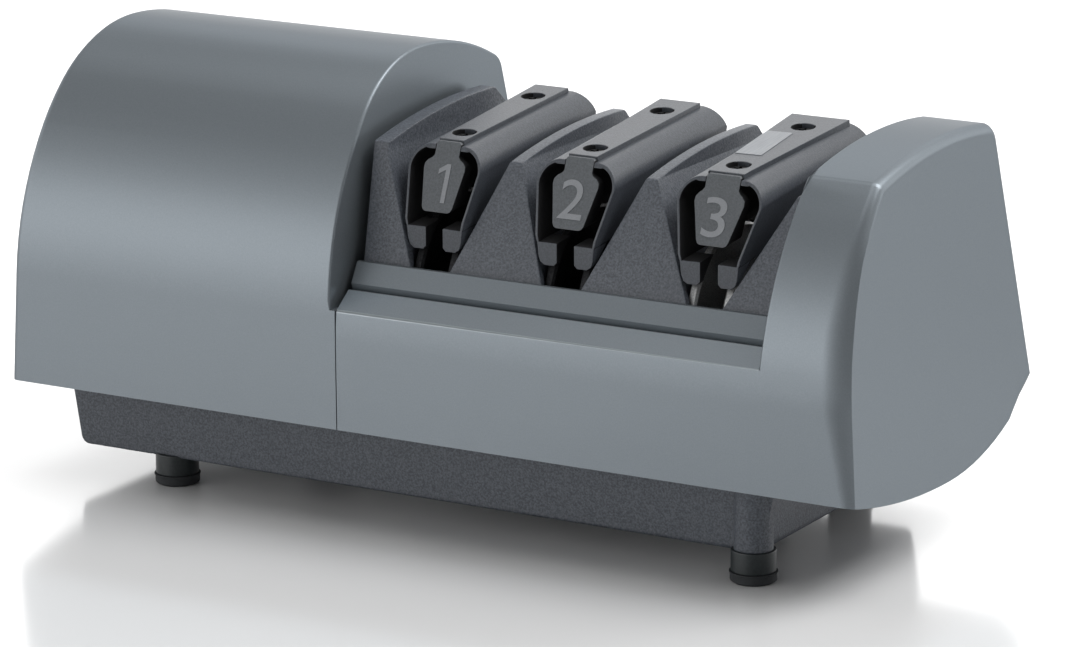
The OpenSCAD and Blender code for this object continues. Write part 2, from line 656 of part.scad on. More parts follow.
// one disk of a pair, side is -1 for the left one
module disk(i, side) color(steel_c) from_corner()
    translate([stages[i], shaft_y, shaft_z]) rotate([0, side * 90, 0]) difference() {
        rotate_extrude($fn = 96) polygon([[shaft_d / 2 + run, hub_half], [disk_d / 2 - 0.6, hub_half],
            [disk_d / 2, hub_half + 0.6], [disk_d / 2, disk_face - 0.4], [disk_d / 2 - 0.4, disk_face],
            [9.2, disk_face + 1], [8.6, hub_end], [shaft_d / 2 + run, hub_end]]);
        translate([-12, -pin_r - 0.1, hub_end - 0.4 - pin_r - run]) cube([24, 2 * pin_r + 0.2, 10]);
    }

spring_wire = 0.6;
spring_turns = 2.5;
coil_r = 6.2;
// spring between a pair of disks, a swept polyhedron
module disk_spring(i) color(steel_c) from_corner() translate([stages[i], shaft_y, shaft_z]) {
    n = 20;
    m = 6;
    half = hub_half - spring_wire - 0.05;
    pts = [for (k = [0:n]) let (a = 360 * spring_turns * k / n, x = -half + 2 * half * k / n)
        for (j = [0:m - 1]) let (b = 360 * j / m, r = coil_r + spring_wire * cos(b))
            [x + spring_wire * sin(b), r * cos(a), r * sin(a)]];
    sides = [for (k = [0:n - 1], j = [0:m - 1]) let (a = k * m + j, b = k * m + (j + 1) % m)
        [a, b, b + m, a + m]];
    polyhedron(pts, concat([[for (j = [m - 1:-1:0]) j]], sides,
        [[for (j = [0:m - 1]) n * m + j]]));
}

module stator_core() color([0.5, 0.5, 0.52]) from_corner() difference() {
    box([stack_x[0], core_front, shaft_z - core_half], [stack_x[1], limb_y[1], shaft_z + core_half]);
    on_arbor(0, 100, rotor_r + air_gap);
    box([0, window_y, shaft_z - window_half], [100, limb_y[0], shaft_z + window_half]);
    for (p = bolt_yz) translate([0, p[0], p[1]]) rotate([0, 90, 0]) cylinder(h = 100, r = 2.1);
}

bolt_yz = [for (y = [core_front + 5, window_y - 6], z = [-21, 21]) [y, shaft_z + z]];
module coil_section(t) translate([limb_y[0] - t, stack_x[0] - t])
    square([limb_y[1] - limb_y[0] + 2 * t, stack_x[1] - stack_x[0] + 2 * t]);
// extrudes a depth and length outline up the limb
module up_limb(z0, z1) translate([0, 0, shaft_z + z0]) linear_extrude(z1 - z0)
    mirror([1, -1]) children();

module field_coil() color("peru") from_corner() up_limb(-window_half + 2.2, window_half - 2.2)
    difference() {
        offset(r = 2) coil_section(coil_t - 2);
        coil_section(1.3);
    }

module coil_bobbin() color("ivory") from_corner() {
    up_limb(-window_half + 0.2, window_half - 0.2) difference() {
        coil_section(1.2);
        coil_section(0.1);
    }
    for (z = [-window_half + 0.2, window_half - 2]) up_limb(z, z + 1.8) difference() {
        coil_section(coil_t);
        coil_section(1.15);
    }
}

module rotor() color([0.6, 0.6, 0.62]) from_corner() difference() {
    union() {
        on_arbor(stack_x[0] - 2, stack_x[1] + 2, rotor_r);
        on_arbor(stack_x[0] - 5, stack_x[1] + 5, rotor_r / 2 - 0.4);
    }
    on_arbor(0, 120, shaft_d / 2);
}

fan_x = motor_l - 15.3;
fan_r = 25;
module cooling_fan() color("gray") from_corner()
    translate([fan_x, shaft_y, shaft_z]) rotate([0, 90, 0]) {
        linear_extrude(1.6) difference() {
            circle(r = fan_r);
            circle(r = shaft_d / 2);
        }
        linear_extrude(9) difference() {
            union() {
                circle(r = 7);
                for (k = [0:8]) rotate(k * 40) translate([5, -0.8]) square([fan_r - 6, 1.6]);
            }
            circle(r = shaft_d / 2);
        }
    }

// bracket that carries a bearing on four stand-offs
module motor_bracket(x, x_core) color(steel_c) from_corner() difference() {
    union() {
        box([x, core_front + 1, shaft_z - core_half], [x + 3, window_y - 2, shaft_z + core_half]);
        for (p = bolt_yz) translate([min(x + 1, x_core), p[0], p[1]]) rotate([0, 90, 0])
            cylinder(h = abs(x_core - x - 1), r = 3.8);
    }
    on_arbor(x - 1, x + 4, bush_r);
    for (p = bolt_yz) translate([0, p[0], p[1]]) rotate([0, 90, 0]) cylinder(h = 100, r = 2.1);
}

bush_r = 8;
module bearing(x) color("goldenrod") from_corner() difference() {
    union() {
        on_arbor(x, x + 6, bush_r);
        on_arbor(x + 4.05, x + 6, bush_r + 2);
    }
    on_arbor(x - 1, x + 7, shaft_d / 2 + run);
}

module motor_bolts() color(steel_c) from_corner() for (p = bolt_yz)
    translate([bearing_x[0] + 1, p[0], p[1]]) rotate([0, 90, 0]) {
        translate([0, 0, -2.5]) cylinder(h = 2.5, r = 3.6);
        cylinder(h = bearing_x[1] - bearing_x[0] + 4, r = 2);
    }

module end_bracket() color(steel_c) from_corner() difference() {
    union() {
        box([bearing_x[2] + 1, shaft_y - 14, flange_z + flange_t],
            [bearing_x[2] + 4, shaft_y + 14, shaft_z + 12]);
        box([bearing_x[2] - 8, shaft_y - 14, flange_z + flange_t],
            [bearing_x[2] + 4, shaft_y + 14, flange_z + flange_t + 3]);
    }
    on_arbor(bearing_x[2] - 1, bearing_x[2] + 6, bush_r);
}

// frame of the rear switch: origin on the wall's outer face, local Z outwards, local Y up
module at_switch() translate([switch_x, rear_y(switch_z), switch_z])
    rotate([-90 + lean, 0, 0]) mirror([0, 1, 0]) children();
module switch_hole() at_switch() translate([-switch_l / 2, -switch_h / 2, -wall - 4])
    cube([switch_l, switch_h, wall + 6]);

rocker_sink = 4;              // depth of the rocker's pivot below the wall's face
module switch_housing() color([0.08, 0.08, 0.09]) from_corner() at_switch() difference() {
    union() {
        translate([-switch_l / 2 + 0.1, -switch_h / 2 + 0.1, -18]) cube([switch_l - 0.2, switch_h - 0.2, 18.1]);
        translate([-switch_l / 2 - 1.5, -switch_h / 2 - 1.5, 0.1])
            cube([switch_l + 3, switch_h + 3, 1.3]);
    }
    translate([-switch_l / 2 + 2.5, 0, -rocker_sink]) rotate([0, 90, 0])
        cylinder(h = switch_l - 5, r = rocker_r - 1.6);
    translate([-switch_l / 2 + 2.5, -rocker_r + 1.6, -rocker_sink]) cube([switch_l - 5, 2 * rocker_r - 3.2, 10]);
}

module switch_rocker() color([0.15, 0.15, 0.16]) from_corner() at_switch()
    translate([-switch_l / 2 + 2.8, 0, -rocker_sink]) rotate([0, 90, 0]) rotate([0, 0, 8])
        linear_extrude(switch_l - 5.6) intersection() {
            circle(r = rocker_r - 2);
            polygon([[8, -9], [8, 9], [-4.6, 9], [-5.8, 6], [-4.8, 0], [-5.8, -6], [-4.6, -9]]);
        }

// forked lever behind the third stage that dresses its disks
stick_gap = 1.8;              // distance of the sticks from the disks at rest
stick_x = disk_face + 0.4 + stick_gap;
module lever_slot() box([lever_x - 9, body_d - 12, lever_z - 1],
    [lever_x + 9, body_d + 5, lever_z + lever_t + 1]);
module dressing_lever() color(black_c) from_corner() difference() {
    translate([lever_x, 0, lever_z]) linear_extrude(lever_t) union() {
        translate([-3, fork_y]) square([6, body_d - 1.6 - fork_y]);
        translate([0, lever_y]) circle(r = 5);
        translate([0, body_d - 5.4]) circle(r = 3.8);
        translate([-stick_x - 3.4, fork_y]) square([2 * stick_x + 6.8, 4]);
        for (s = [-1, 1]) translate([s * (stick_x + 2.2) - 1.2, fork_y - 9]) square([2.4, 10]);
    }
    translate([lever_x, lever_y, lever_z - 1]) cylinder(h = lever_t + 2, r = 2 + run);
}

module dressing_stick() color("white") from_corner() for (s = [-1, 1])
    translate([lever_x + s * (stick_x + 0.5) - 0.5, fork_y - 8.5, lever_z + 0.5])
        cube([1, 8, lever_t - 1]);

module lever_pin() color(steel_c) from_corner() {
    translate([lever_x, lever_y, lever_z - 12]) cylinder(h = 12 + lever_t + gap, r = 2);
    translate([lever_x, lever_y, lever_z + lever_t + gap]) cylinder(h = 1.5, r = 4);
}

motor_cover();
sharpening_cover();
guide_block();
base_tray();
foot_legs();
foot_pads();
cover_screws();
cord_grommet();
guide_spring(0);  // guide_spring_1
guide_spring(1);  // guide_spring_2
guide_spring(2);  // guide_spring_3
guide_post(0);  // guide_post_1
guide_post(1);  // guide_post_2
guide_post(2);  // guide_post_3
guide_screws();
arbor_shaft();
drive_pins();
shaft_collars();
disk(0, -1);  // disk_1_left
disk(0, 1);  // disk_1_right
disk(1, -1);  // disk_2_left
disk(1, 1);  // disk_2_right
disk(2, -1);  // disk_3_left
disk(2, 1);  // disk_3_right
disk_spring(0);  // disk_spring_1
disk_spring(1);  // disk_spring_2
disk_spring(2);  // disk_spring_3
stator_core();
field_coil();
coil_bobbin();
rotor();
cooling_fan();
motor_bracket(bearing_x[0] + 1, stack_x[0]);  // motor_bracket_left
motor_bracket(bearing_x[1] + 1, stack_x[1]);  // motor_bracket_right
motor_bolts();
bearing(bearing_x[0]);  // bearing_left
bearing(bearing_x[1]);  // bearing_right
bearing(bearing_x[2]);  // bearing_end
end_bracket();
switch_housing();
switch_rocker();
dressing_lever();
dressing_stick();
lever_pin();
cleanout_cover();
dust_magnet();
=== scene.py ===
# %% [markdown]
# # An electric knife sharpener, dressed in Blender
#
# The solids of the sharpener come from CAD and arrive as a fixed frame: every piece is already at its real
# size and in its real place, in metres. This lesson gives that frame its looks. We round the edges that a
# moulding tool would round, model the small pieces that only the eye needs, and give each piece the finish
# of the real one. Nothing in the frame is moved, so each new piece has to fit where the CAD solid was.

# %% Load the frame
import json
import math
import bmesh
import bpy
from mathutils import Matrix, Vector

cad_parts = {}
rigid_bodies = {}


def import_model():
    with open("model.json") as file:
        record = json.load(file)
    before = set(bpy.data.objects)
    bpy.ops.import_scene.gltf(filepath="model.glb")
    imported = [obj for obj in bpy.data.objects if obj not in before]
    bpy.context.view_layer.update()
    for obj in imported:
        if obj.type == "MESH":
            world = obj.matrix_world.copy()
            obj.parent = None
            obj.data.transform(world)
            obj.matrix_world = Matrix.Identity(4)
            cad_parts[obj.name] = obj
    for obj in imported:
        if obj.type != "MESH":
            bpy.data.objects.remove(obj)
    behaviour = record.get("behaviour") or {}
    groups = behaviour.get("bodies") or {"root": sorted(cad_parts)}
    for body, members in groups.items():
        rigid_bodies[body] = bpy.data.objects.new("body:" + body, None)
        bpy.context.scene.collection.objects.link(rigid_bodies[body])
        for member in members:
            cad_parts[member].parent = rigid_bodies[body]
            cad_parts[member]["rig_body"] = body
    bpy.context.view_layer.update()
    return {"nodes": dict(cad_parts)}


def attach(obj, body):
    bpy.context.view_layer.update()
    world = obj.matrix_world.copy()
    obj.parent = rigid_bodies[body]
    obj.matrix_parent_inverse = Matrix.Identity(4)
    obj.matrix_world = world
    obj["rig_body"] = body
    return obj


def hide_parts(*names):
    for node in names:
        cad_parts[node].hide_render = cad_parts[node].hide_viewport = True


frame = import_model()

mm = 0.001

# %% [markdown]
# ## Working in millimetres from a corner
#
# A drawing of such a machine is dimensioned from its front left corner, so we do the same: `at(x, y, z)`
# takes millimetres along the arbor, back from the front edge and up from the worktop, and returns the place
# in the frame. `in_mm` goes the other way. The places along the arbor are named once, because most pieces
# refer to them.

# %% Places along the machine
corner = Vector((127.0, 54.2, 0.0))  # from the drawing's corner to the middle of the frame


def at(x, y, z):
    return (Vector((x, y, z)) - corner) * mm


def in_mm(point):
    return point / mm + corner


motor_l = 104.3               # right face of the motor cover
cap_x = 228.0                 # inner face of the end cap
body_l = 254.0                # end face of the cap
rail_z = 59.0                 # top edge of the front rail
stages = [125.8, 164.9, 206.4]
spring_tilt = math.radians(5)  # the guides rise towards the back
guide_origin = (22.7, 102.1)  # front top edge of each guide, in depth and height
print("stages at", stages, "mm from the left")

# %% [markdown]
# ## Copies of the CAD solids
#
# A CAD solid comes in as loose triangles. To round an edge by hand you would first merge the doubled
# vertices and dissolve the lines that only cut flat faces up. We do exactly that on a copy, because the
# frame itself has to stay as it is. The copy then stands for the node, and rides on the same body, so it
# moves with it at every pose.

# %% Copy a solid and clean it
nodes = frame["nodes"]


def only(piece):
    bpy.ops.object.select_all(action="DESELECT")
    piece.select_set(True)
    bpy.context.view_layer.objects.active = piece


def stands_for(piece, node):
    """Lets a finished piece replace a CAD node and ride on its body."""
    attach(piece, nodes[node]["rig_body"])
    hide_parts(node)


def copy_of(node, name):
    piece = bpy.data.objects.new(name, nodes[node].data.copy())
    bpy.context.scene.collection.objects.link(piece)
    only(piece)
    if piece.data.has_custom_normals:
        bpy.ops.mesh.customdata_custom_splitnormals_clear()
    bpy.ops.object.mode_set(mode="EDIT")
    bpy.ops.mesh.select_all(action="SELECT")
    bpy.ops.mesh.remove_doubles(threshold=0.005 * mm)
    bpy.ops.mesh.dissolve_limited(angle_limit=math.radians(0.4))
    bpy.ops.object.mode_set(mode="OBJECT")
    stands_for(piece, node)
    return piece


print(len(nodes), "solids to dress")

# %% [markdown]
# ## Rounding edges
#
# Injection moulding leaves no knife-sharp edge: the tool has a small radius everywhere, and the eye reads it
# as a thin line of light. We select convex edges in code, by how sharp they are and where they lie, and bevel
# only those. `keep` gets the middle of an edge in the millimetres above, with the two face normals, so a
# cell can say in one line which edges it means. The bevel's new lines slide along the edges that they meet.
# Where those edges run nearly along the rim that would fold the faces over each other, so sliding can be
# switched off. `smooth` then shades what nearly lines up as one soft surface.

# %% Select sharp edges and bevel them
def soften(piece, width, keep=lambda p, n: True, sharp=24, segments=3, slide=True):
    only(piece)
    bpy.ops.object.mode_set(mode="EDIT")
    bpy.ops.mesh.select_mode(type="EDGE")
    bpy.ops.mesh.select_all(action="DESELECT")
    shape = bmesh.from_edit_mesh(piece.data)
    count = 0
    for edge in shape.edges:
        if len(edge.link_faces) != 2 or edge.calc_face_angle_signed() < math.radians(sharp):
            continue
        middle = in_mm((edge.verts[0].co + edge.verts[1].co) / 2)
        if keep(middle, [f.normal for f in edge.link_faces]):
            edge.select_set(True)
            count += 1
    bmesh.update_edit_mesh(piece.data)
    if count:
        bpy.ops.mesh.bevel(offset=width * mm, offset_type="OFFSET", segments=segments, profile=0.5,
                           affect="EDGES", clamp_overlap=False, loop_slide=slide)
    bpy.ops.object.mode_set(mode="OBJECT")
    print(piece.name, "rounded", count, "edges by", width, "mm")


def smooth(piece, angle=30):
    """Shades soft between faces that nearly line up, and weighs large faces more."""
    only(piece)
    bpy.ops.object.shade_smooth_by_angle(angle=math.radians(angle))
    even = piece.modifiers.new("even", "WEIGHTED_NORMAL")
    even.keep_sharp = True
    bpy.ops.object.modifier_apply(modifier="even")


# %% [markdown]
# ## The motor cover
#
# The cover is one moulding with an arched outline, painted afterwards. Its left end is rounded off, its right
# face has a shallow recess behind the rim, and its lower edge sweeps down to the middle. We keep the CAD
# shape and roll its rims: generously at the left end, finely at the right. The left end face bends inwards
# towards the top in narrow strips, and there the bevel must not slide.

# %% Motor cover
def outer(p, normals, centre=Vector((60, 54, 60))):
    """True where both faces of an edge look away from the middle of the cover."""
    away = (p - centre).normalized()
    return all(n.dot(away) > 0.05 for n in normals)


motor_cover = copy_of("motor_cover", "motor_cover_shell")
soften(motor_cover, 2.2, lambda p, n: p.x < 9 and p.z > 29 and outer(p, n) and not
       all(abs(m.x) < 0.5 for m in n), segments=5, slide=False)
soften(motor_cover, 0.7, lambda p, n: p.x > motor_l - 6 and p.z > rail_z + 1 and outer(p, n)
       and any(m.x > 0.6 for m in n) and any(abs(m.x) < 0.3 for m in n))
smooth(motor_cover)

# %% [markdown]
# ## The front rail and end cap
#
# One moulding again: the rail in front of the guides runs into the tall cap at the right. On the photograph
# the cap's curved front bends away in a dark band about 7 mm wide, which ends in a crisp line at the end face.
# A plain fillet would meet that face without a line. So we bevel the rim by 2.7 mm, and `bow_rim` then
# spreads the fillet's vertices over a wider and flatter arc, which turns by 42 degrees and stops. Towards the
# crease at the top of the front the band narrows and turns back into the plain fillet. The rail's top edge
# is a fine line.

# %% Sharpening cover
cap_centre = Vector((241, 60, 55))
arc_y, arc_z = 75.0, 50.5      # centre of the front's arc, which is also 75 mm in radius
front_y, low_z = 22, 29        # the bowed rim lies before this depth and above this height
narrow_from, narrow_h = 70, 30   # the band narrows from this height, over this many mm
upright_from, upright_h = 88, 11  # and turns back into a plain fillet from here
fillet = 2.7


def ramp(value, start, length):
    return min(1, max(0, (value - start) / length))


def bow_rim(piece, small, wide, turn):
    """Widens the small fillet of the front rim to a flat bow, which meets the end face in a crease."""
    face = max((f for f in piece.data.polygons if f.normal.x > 0.98), key=lambda f: f.area)
    flat, origin = face.normal.copy(), in_mm(face.center)

    def end_at(p):
        return origin.x - (flat.y * (p.y - origin.y) + flat.z * (p.z - origin.z)) / flat.x

    moved = 0
    for vertex in piece.data.vertices:
        p = in_mm(vertex.co)
        out = Vector((0, p.y - arc_y, p.z - arc_z))
        deep, along = arc_y - out.length, end_at(p) - p.x  # from the front's arc, and from the end face
        if not (p.y < front_y and p.z > low_z and -0.05 < deep < small + 0.1 and -0.1 < along < small + 0.1):
            continue
        deep, along = max(deep, 0), max(along, 0)
        size = along + deep + math.sqrt(2 * along * deep)  # radius of the quarter circle through p
        if abs(size - small) > 0.3:
            continue
        part = math.acos(max(-1, min(1, 1 - deep / size)))
        width = small + (wide - small) * (1 - ramp(p.z, narrow_from, narrow_h))
        bend = math.radians(turn + (90 - turn) * ramp(p.z, upright_from, upright_h))
        radius = width / math.sin(bend)
        angle = part * bend / (math.pi / 2)
        p.yz = Vector((arc_y, arc_z)) + out.yz.normalized() * (arc_y - radius * (1 - math.cos(angle)))
        p.x = end_at(p) - (width - radius * math.sin(angle))
        vertex.co = (p - corner) * mm
        moved += 1
    print("rim bowed at", moved, "vertices")


sharpening_cover = copy_of("sharpening_cover", "rail_and_cap")
soften(sharpening_cover, fillet, lambda p, n: p.x > body_l - 6 and p.z > low_z and
       outer(p, n, cap_centre) and any(m.x > 0.6 for m in n), segments=8)
bow_rim(sharpening_cover, fillet, 7.0, 42)
# the inner rim of the cap, the rail's top edge and the crease of the cap's front
soften(sharpening_cover, 0.9, lambda p, n: cap_x - 4 < p.x < cap_x + 4 and p.z > rail_z - 3
       and any(m.x < -0.6 for m in n) and any(abs(m.x) < 0.4 for m in n) and
       all(m.dot((p - cap_centre).normalized()) > -0.1 for m in n))
soften(sharpening_cover, 0.5, lambda p, n: motor_l + 1 < p.x < cap_x - 1 and p.y < 6
       and rail_z - 2 < p.z < rail_z + 3)
soften(sharpening_cover, 0.8, lambda p, n: p.x > cap_x and 21 < p.y < 25 and p.z > 100, sharp=20)

# %% [markdown]
# Behind the rail's ledge a lip rises to the guides. In the photograph it is flat, and a fine shadow line runs
# along its foot. The CAD lip is a hollow arc: we move its vertices onto one slanted plane, bevel the inner
# corner at its foot into three lines, and sink the middle one by 1.7 mm. The narrow notch that this leaves is
# the shadow line.

# %% Flat lip with a shadow line
foot, top = Vector((7.5, 64.0)), Vector((11.0, 70.0))   # depth and height of the lip's ends
arc_middle, arc_r = Vector((5.0, 70.0)), 6              # the CAD lip's arc
line_at, line_to = Vector((7.4, 64.15)), (8.6, 62.9)    # the bevel's middle line, and where it sinks to


def in_section(vertex):
    return in_mm(vertex.co).yz


def set_section(vertex, spot):
    vertex.co.yz = (spot[0] - corner.y) * mm, spot[1] * mm


for vertex in sharpening_cover.data.vertices:
    spot = in_section(vertex)
    if abs((spot - arc_middle).length - arc_r) < 0.06 and 7.9 < spot.x < 11.1 and spot.y < 70.1:
        set_section(vertex, (foot.x + (spot.y - foot.y) * (top.x - foot.x) / (top.y - foot.y), spot.y))
only(sharpening_cover)
bpy.ops.object.mode_set(mode="EDIT")
bpy.ops.mesh.select_mode(type="EDGE")
bpy.ops.mesh.select_all(action="DESELECT")
shape = bmesh.from_edit_mesh(sharpening_cover.data)
for edge in shape.edges:
    edge.select_set(all((in_section(v) - foot).length < 0.1 for v in edge.verts))
bmesh.update_edit_mesh(sharpening_cover.data)
bpy.ops.mesh.bevel(offset=1.15 * mm, segments=2, affect="EDGES", clamp_overlap=False)
bpy.ops.object.mode_set(mode="OBJECT")
sunk = 0
for vertex in sharpening_cover.data.vertices:
    if (in_section(vertex) - line_at).length < 0.4:
        set_section(vertex, line_to)
        sunk += 1
print("shadow line sunk at", sunk, "vertices")
smooth(sharpening_cover, 25)

# %% [markdown]
# ## The guide block and the base
#
# Both are moulded in black plastic with a grained surface. Their edges are crisp: about half a millimetre on
# the ridges between the stages, and one millimetre along the foot of the tub, where it would chip first.

# %% Guide block and base tub
guide_block = copy_of("guide_block", "guide_block_moulding")
soften(guide_block, 0.45, lambda p, n: p.z > 71 and any(m.y < -0.5 or m.z > 0.35 for m in n), segments=2)
smooth(guide_block)

base_tray = copy_of("base_tray", "base_tub")
soften(base_tray, 0.9, lambda p, n: p.z < 27.5 and (p.y < 12.6 or p.y > 97.4)
       and 9 < p.x < 230 and any(abs(m.y) > 0.9 for m in n))
smooth(base_tray)

# %% [markdown]
# ## The sprung guides and the posts
#
# Each guide is a thin skin that springs against the knife, with a flat plate on top and two pads at its
# mouth. The post inside it carries the number of the stage. The CAD arms are 1.2 mm thick and look thinner in
# the photograph, so `thin_arms` moves their inner faces out by 0.45 mm. Both pieces are small and seen close
# up, so their edges are rounded by about a fifth of a millimetre, just enough to catch the light.

# %% Guides and posts
def on_guide(i, x, y, z):
    """Place on top of guide i: across it, back along it and above its plate, in mm."""
    turn = Matrix.Rotation(spring_tilt, 4, "X")
    return Matrix.Translation(at(stages[i], *guide_origin)) @ turn @ Matrix.Translation(
        Vector((x, y, z)) * mm)


pad_top, plate_under = -21.3, -2.2  # the arms lie between these heights, from the plate's top


def thin_arms(skin, i, amount):
    """Moves the inner faces of a guide's two arms outwards."""
    to_guide = on_guide(i, 0, 0, 0).inverted()
    shape = bmesh.new()
    shape.from_mesh(skin.data)
    moves = {}
    for vertex in shape.verts:
        spot = to_guide @ vertex.co / mm
        inner = [f.normal for f in vertex.link_faces
                 if f.normal.x * spot.x < -0.25 * abs(spot.x) and abs(f.normal.y) < 0.3]
        if inner and pad_top < spot.z < plate_under and abs(spot.x) > 6:
            way = sum(inner, Vector())
            moves[vertex] = Vector((way.x, 0, way.z)).normalized() * -amount * mm
    for vertex, move in moves.items():
        vertex.co += move
    shape.to_mesh(skin.data)
    shape.free()
    print(skin.name, "thinned at", len(moves), "vertices")


guide_skins, posts = [], []
for i in range(3):
    skin = copy_of(f"guide_spring_{i + 1}", f"guide_skin_{i + 1}")
    thin_arms(skin, i, 0.45)
    soften(skin, 0.22, sharp=30, segments=2)
    smooth(skin)
    guide_skins.append(skin)
    post = copy_of(f"guide_post_{i + 1}", f"number_post_{i + 1}")
    soften(post, 0.25, lambda p, n: p.y < 26, sharp=20, segments=2)
    smooth(post)
    posts.append(post)

# %% [markdown]
# ## Numerals on the posts
#
# The stages are told apart by printed numbers. A text object is the quickest way to get clean figures, and
# the plain stroke of the 1, which the font draws otherwise, is a filled curve with seven corners. We make
# each a mesh first and only then lay it on the slanted face of its post, because a finished piece has to sit
# at the origin with its place in its mesh.

# %% Numbers 1, 2 and 3
face_slope = 0.42             # the posts' faces lean back by this much as they rise
face_y, face_z = 14.8, 82.3   # depth and height of a point on them
numeral_z = 91.6              # height of the figures' middles
numeral_y = face_y + face_slope * (numeral_z - face_z)
numeral_h = 10.3
proud = 0.02                  # the figures' middle plane lies this far before the face
half_ink, half_drawn = 0.15, 0.02   # half their thickness, finished in mm and as drawn
numeral_x = [0.3, -0.1, -0.4]
numeral_w = [1.0, 1.08, 1.2]  # the font is a little narrower than the figures on the posts
figure_one = [(0, 0), (1.25, 0), (1.25, 10.3), (0.15, 10.3), (-2.1, 8.8), (-2.1, 7.5), (0, 8.75)]
numerals = []
for i in range(3):
    bpy.ops.object.select_all(action="DESELECT")
    if i == 0:
        flat = bpy.data.curves.new("one", "CURVE")
        flat.dimensions = "2D"
        flat.fill_mode = "BOTH"
        line = flat.splines.new("POLY")
        line.points.add(len(figure_one) - 1)
        for point, (x, y) in zip(line.points, figure_one):
            point.co = (x, y, 0, 1)
        line.use_cyclic_u = True
        drawn = bpy.data.objects.new("one", flat)
        bpy.context.scene.collection.objects.link(drawn)
        only(drawn)
    else:
        bpy.ops.object.text_add()
        drawn = bpy.context.object
        drawn.data.body = str(i + 1)
        drawn.data.offset = 0.003
    drawn.data.extrude = half_drawn
    bpy.ops.object.convert(target="MESH")
    figure = bpy.context.object
    figure.name = f"numeral_{i + 1}"
    xs = [v.co.x for v in figure.data.vertices]
    ys = [v.co.y for v in figure.data.vertices]
    size = numeral_h * mm / (max(ys) - min(ys))
    middle = Vector(((max(xs) + min(xs)) / 2, (max(ys) + min(ys)) / 2, 0))
    upright = Matrix.Rotation(math.pi / 2 - math.atan(face_slope), 4, "X")
    place = at(stages[i] + numeral_x[i], numeral_y - proud, numeral_z)
    figure.data.transform(Matrix.Translation(place) @ upright
                          @ Matrix.Diagonal((size * numeral_w[i], size, half_ink * mm / half_drawn, 1))
                          @ Matrix.Translation(-middle))
    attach(figure, "housing")
    numerals.append(figure)
    print(figure.name, "is", round((max(xs) - min(xs)) * size * numeral_w[i] / mm, 1), "mm wide")

# %% [markdown]
# ## The rating plate
#
# A small silver plate is stuck on the third guide between its screws, a little askew. It stays bare. It is a
# thin strip of brushed aluminium foil: a plane, extruded to 0.14 mm, with its edges bevelled.

# %% Plate on guide 3
label_w, label_l, label_h = 7.3, 20.4, 0.14
askew = math.radians(3.8)
bpy.ops.object.select_all(action="DESELECT")
bpy.ops.mesh.primitive_plane_add(size=1)
label = bpy.context.object
label.name = "silver_plate"
label.data.transform(Matrix.Diagonal((label_w * mm, label_l * mm, 1, 1)))
bpy.ops.object.mode_set(mode="EDIT")
bpy.ops.mesh.select_all(action="SELECT")
bpy.ops.mesh.extrude_region_move(TRANSFORM_OT_translate={"value": (0, 0, label_h * mm)})
bpy.ops.mesh.select_all(action="SELECT")
bpy.ops.mesh.normals_make_consistent(inside=False)
bpy.ops.object.mode_set(mode="OBJECT")
label.data.transform(on_guide(2, -2.7, 27.0, 0.0) @ Matrix.Rotation(askew, 4, "Z"))
soften(label, 0.05, segments=2)
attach(label, "housing")

# %% [markdown]
# ## Turned pieces: feet, screws and the grommet
#
# Feet, screw heads and the grommet are round. By hand you would add a filled circle, extrude it up and
# resize it at each step of its profile. `turned` does that: it takes the steps as height and radius, and
# leaves a closed solid whose edges a bevel can round afterwards.

# %% A helper for turned pieces
def turned(name, steps, sides=48):
    bpy.ops.object.select_all(action="DESELECT")
    z0, r0 = steps[0]
    bpy.ops.mesh.primitive_circle_add(vertices=sides, radius=r0 * mm, fill_type="NGON",
                                      location=(0, 0, z0 * mm))
    piece = bpy.context.object
    piece.name = name
    piece.data.transform(piece.matrix_basis)
    piece.matrix_basis = Matrix.Identity(4)
    bpy.ops.object.mode_set(mode="EDIT")
    bpy.ops.mesh.select_all(action="SELECT")
    for z, r in steps[1:]:
        bpy.ops.mesh.extrude_region_move(TRANSFORM_OT_translate={"value": (0, 0, (z - z0) * mm)})
        bpy.ops.transform.resize(value=(r / r0, r / r0, 1))
        z0, r0 = z, r
    bpy.ops.mesh.select_all(action="SELECT")
    bpy.ops.mesh.normals_make_consistent(inside=False)
    bpy.ops.object.mode_set(mode="OBJECT")
    return piece


def copies(piece, name, places):
    """One piece with a copy of the model at each place; the model itself goes."""
    made = []
    for place in places:
        again = bpy.data.objects.new(name, piece.data.copy())
        bpy.context.scene.collection.objects.link(again)
        again.data.transform(place)
        made.append(again)
    bpy.ops.object.select_all(action="DESELECT")
    for again in made:
        again.select_set(True)
    bpy.context.view_layer.objects.active = made[0]
    bpy.ops.object.join()
    bpy.data.objects.remove(piece)
    joined = bpy.context.object
    joined.name = name
    return joined


# %% [markdown]
# ## Feet
#
# Each foot is a short leg on a rubber pad. The pad has a thin rim just under the leg, which reads as a ring in
# the photograph. A narrow stem goes up into the base, where it does not show.

# %% Legs and rubber pads
feet = [(42.5, 16.6), (220.3, 13.3), (42.5, 92.0), (208.0, 92.0)]
foot_places = [Matrix.Translation(at(x, y, 0)) for x, y in feet]
leg = turned("leg", [(2.9, 5.5), (2.9, 5.85), (8.6, 5.85), (8.6, 2.4), (17.5, 2.4)])
soften(leg, 0.3, sharp=60, segments=2)
legs = copies(leg, "foot_legs_turned", foot_places)
smooth(legs, 40)
stands_for(legs, "foot_legs")

pad = turned("pad", [(0.0, 5.3), (0.5, 6.05), (2.35, 6.05), (2.45, 6.28), (2.88, 6.28), (2.88, 5.0)])
soften(pad, 0.15, sharp=40, segments=2)
pads = copies(pad, "foot_pads_turned", foot_places)
smooth(pads, 40)
stands_for(pads, "foot_pads")
print("feet stand at", feet)

